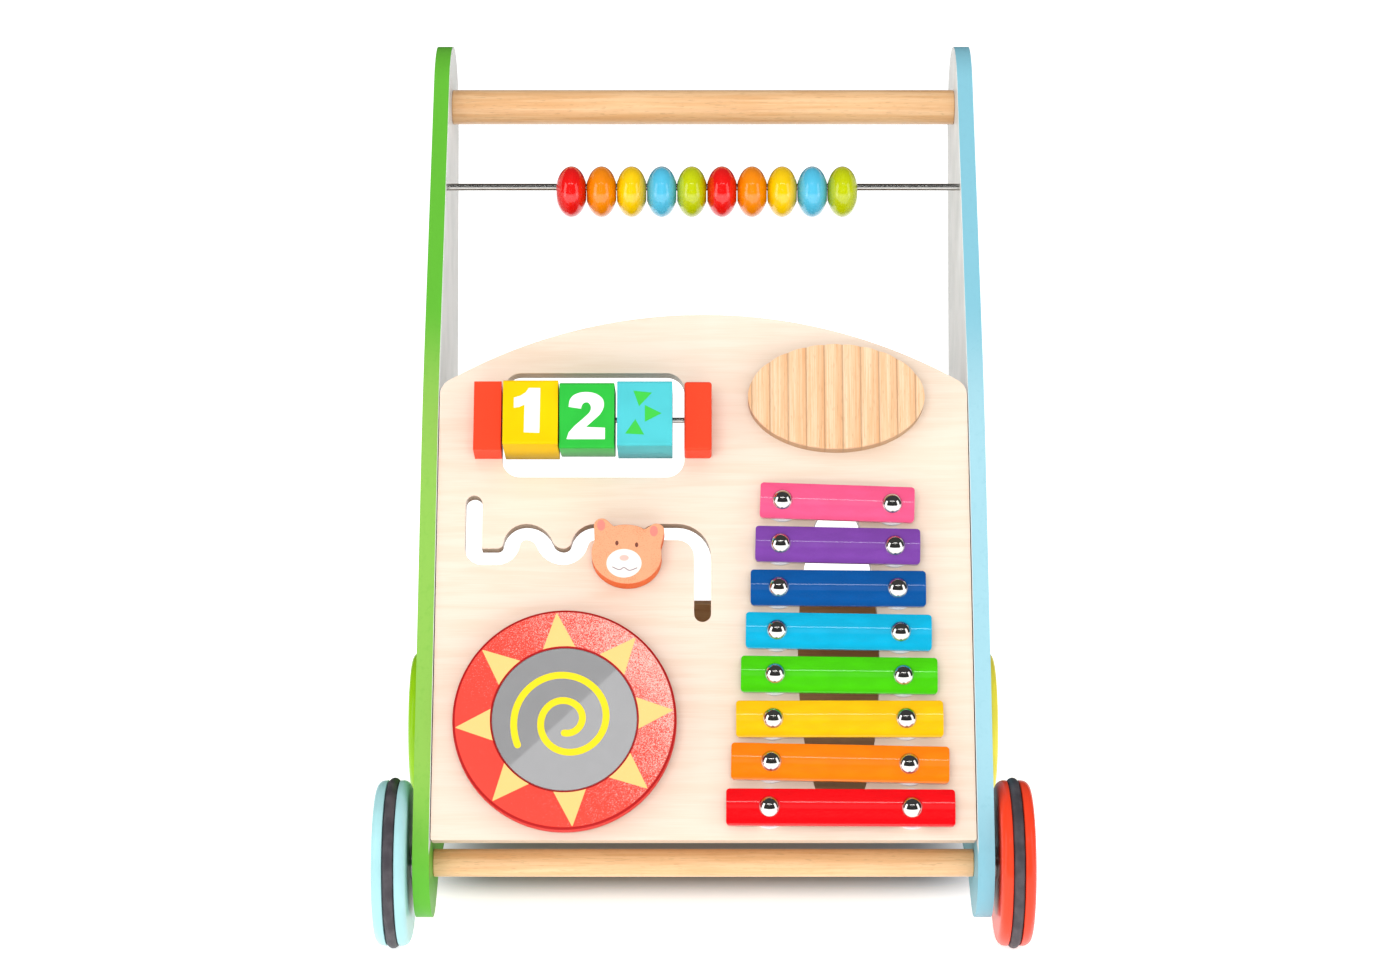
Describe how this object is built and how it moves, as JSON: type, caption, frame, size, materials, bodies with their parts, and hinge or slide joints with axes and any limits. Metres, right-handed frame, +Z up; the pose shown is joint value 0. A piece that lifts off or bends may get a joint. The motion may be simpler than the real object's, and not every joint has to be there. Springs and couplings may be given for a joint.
{
  "type": "baby walker",
  "caption": "Wooden push-along baby walker with a sloping play panel, bead abacus, xylophone bars, number blocks, a sliding bear, a mirror disc, a handle, a storage tray and wheels.",
  "frame": {"origin": "on the floor, midway between the wheel axles and between the side boards", "axes": "+Z up; the play panel faces -Y, which is the way the walker is pushed; +X is to the right seen from the front"},
  "size_m": [0.3572, 0.3381, 0.4579],
  "materials": {
    "green_paint": "plywood, leaf green paint on the edges and the outer face, white inner face",
    "blue_paint": "plywood, sky blue paint on the edges and the outer face, white inner face",
    "birch": "birch plywood, clear matt lacquer",
    "beech": "beech, clear satin lacquer",
    "steel": "bright drawn steel",
    "chrome_steel": "chrome-plated domed heads",
    "bead_red": "wood with thick gloss paint",
    "bead_orange": "wood with thick gloss paint",
    "bead_yellow": "wood with thick gloss paint",
    "bead_sky": "wood with thick gloss paint",
    "bead_lime": "wood with thick gloss paint",
    "coral_paint": "wood with coral red satin paint",
    "block_yellow": "wood with yellow satin paint, white digit",
    "block_green": "wood with green satin paint, white digit",
    "block_turquoise": "wood with turquoise satin paint, green triangles",
    "bear_paint": "wood with a printed orange face and painted edge",
    "mirror": "silvered plastic mirror with a yellow spiral line",
    "white_plastic": "white nylon",
    "felt": "white felt",
    "tyre_rubber": "black rubber ring",
    "wheel_sky": "wood with pale sky blue gloss paint",
    "wheel_coral": "wood with red-orange gloss paint",
    "wheel_lime": "wood with lime gloss paint",
    "wheel_yellow": "wood with yellow gloss paint",
    "bar_red": "aluminium bar, gloss enamel",
    "bar_orange": "aluminium bar, gloss enamel",
    "bar_yellow": "aluminium bar, gloss enamel",
    "bar_green": "aluminium bar, gloss enamel",
    "bar_sky": "aluminium bar, gloss enamel",
    "bar_blue": "aluminium bar, gloss enamel",
    "bar_purple": "aluminium bar, gloss enamel",
    "bar_pink": "aluminium bar, gloss enamel"
  },
  "bodies": {
    "frame": {"left_side_panel": "green_paint", "right_side_panel": "blue_paint", "play_panel": "birch", "rear_board": "birch", "tray_floor": "birch", "handle_bar": "beech", "front_axle_dowel": "beech", "rear_axle_dowel": "beech", "frame_screws": "steel", "abacus_rod": "steel", "block_holder_left": "coral_paint", "block_holder_right": "coral_paint", "block_rod": "steel", "sun_pivot_bolt": "steel", "sun_pivot_nut": "steel", "sun_spacer": "white_plastic", "guiro_board": "beech", "xylophone_bar_1": "bar_red", "xylophone_bar_2": "bar_orange", "xylophone_bar_3": "bar_yellow", "xylophone_bar_4": "bar_green", "xylophone_bar_5": "bar_sky", "xylophone_bar_6": "bar_blue", "xylophone_bar_7": "bar_purple", "xylophone_bar_8": "bar_pink", "xylophone_screws": "chrome_steel", "xylophone_washers": "felt", "wheel_bolts": "chrome_steel", "wheel_spacers": "steel"},
    "front_left_wheel": {"wheel_front_left": "wheel_sky", "tyre_front_left": "tyre_rubber"},
    "front_right_wheel": {"wheel_front_right": "wheel_coral", "tyre_front_right": "tyre_rubber"},
    "rear_left_wheel": {"wheel_rear_left": "wheel_lime", "tyre_rear_left": "tyre_rubber"},
    "rear_right_wheel": {"wheel_rear_right": "wheel_yellow", "tyre_rear_right": "tyre_rubber"},
    "number_block_1": {"number_block_1": "block_yellow"},
    "number_block_2": {"number_block_2": "block_green"},
    "number_block_3": {"number_block_3": "block_turquoise"},
    "sun": {"sun_disc": "coral_paint", "sun_mirror": "mirror"},
    "bear_slider": {"bear_pin": "beech", "bear_rear_disc": "birch"},
    "bear_face": {"bear_head": "bear_paint"},
    "bead_1": {"bead_1": "bead_red"},
    "bead_2": {"bead_2": "bead_orange"},
    "bead_3": {"bead_3": "bead_yellow"},
    "bead_4": {"bead_4": "bead_sky"},
    "bead_5": {"bead_5": "bead_lime"},
    "bead_6": {"bead_6": "bead_red"},
    "bead_7": {"bead_7": "bead_orange"},
    "bead_8": {"bead_8": "bead_yellow"},
    "bead_9": {"bead_9": "bead_sky"},
    "bead_10": {"bead_10": "bead_lime"}
  },
  "joints": [
    {"name": "front_left_wheel_spin", "type": "hinge", "parent": "frame", "child": "front_left_wheel", "pos_m": [-0.16725, -0.123, 0.046], "axis": [1, 0, 0], "continuous": true},
    {"name": "rear_left_wheel_spin", "type": "hinge", "parent": "frame", "child": "rear_left_wheel", "pos_m": [-0.16725, 0.123, 0.046], "axis": [1, 0, 0], "continuous": true},
    {"name": "front_right_wheel_spin", "type": "hinge", "parent": "frame", "child": "front_right_wheel", "pos_m": [0.16725, -0.123, 0.046], "axis": [1, 0, 0], "continuous": true},
    {"name": "rear_right_wheel_spin", "type": "hinge", "parent": "frame", "child": "rear_right_wheel", "pos_m": [0.16725, 0.123, 0.046], "axis": [1, 0, 0], "continuous": true},
    {"name": "number_block_1_spin", "type": "hinge", "parent": "frame", "child": "number_block_1", "pos_m": [-0.0941, -0.04221, 0.2733], "axis": [1, 0, 0], "continuous": true},
    {"name": "number_block_2_spin", "type": "hinge", "parent": "frame", "child": "number_block_2", "pos_m": [-0.0634, -0.04221, 0.2733], "axis": [1, 0, 0], "continuous": true},
    {"name": "number_block_3_spin", "type": "hinge", "parent": "frame", "child": "number_block_3", "pos_m": [-0.032, -0.04221, 0.2733], "axis": [1, 0, 0], "continuous": true},
    {"name": "sun_disc_spin", "type": "hinge", "parent": "frame", "child": "sun", "pos_m": [-0.0744, -0.12147, 0.12568], "axis": [0, -0.8695, 0.4939], "continuous": true},
    {"name": "bear_swing", "type": "hinge", "parent": "frame", "child": "bear_slider", "pos_m": [-0.0415, -0.06703, 0.21138], "axis": [0, -0.8695, 0.4939], "range_deg": [-60, 60]},
    {"name": "bear_spin", "type": "hinge", "parent": "bear_slider", "child": "bear_face", "pos_m": [-0.0415, -0.07665, 0.20661], "axis": [0, -0.8695, 0.4939], "continuous": true},
    {"name": "bead_5_slide", "type": "slide", "parent": "frame", "child": "bead_5", "axis": [1, 0, 0], "range_m": [-0.01243, 0]},
    {"name": "bead_4_slide", "type": "slide", "parent": "bead_5", "child": "bead_4", "axis": [1, 0, 0], "range_m": [-0.01243, 0]},
    {"name": "bead_3_slide", "type": "slide", "parent": "bead_4", "child": "bead_3", "axis": [1, 0, 0], "range_m": [-0.01243, 0]},
    {"name": "bead_2_slide", "type": "slide", "parent": "bead_3", "child": "bead_2", "axis": [1, 0, 0], "range_m": [-0.01243, 0]},
    {"name": "bead_1_slide", "type": "slide", "parent": "bead_2", "child": "bead_1", "axis": [1, 0, 0], "range_m": [-0.01243, 0]},
    {"name": "bead_6_slide", "type": "slide", "parent": "frame", "child": "bead_6", "axis": [1, 0, 0], "range_m": [0, 0.01162]},
    {"name": "bead_7_slide", "type": "slide", "parent": "bead_6", "child": "bead_7", "axis": [1, 0, 0], "range_m": [0, 0.01162]},
    {"name": "bead_8_slide", "type": "slide", "parent": "bead_7", "child": "bead_8", "axis": [1, 0, 0], "range_m": [0, 0.01162]},
    {"name": "bead_9_slide", "type": "slide", "parent": "bead_8", "child": "bead_9", "axis": [1, 0, 0], "range_m": [0, 0.01162]},
    {"name": "bead_10_slide", "type": "slide", "parent": "bead_9", "child": "bead_10", "axis": [1, 0, 0], "range_m": [0, 0.01162]}
  ]
}
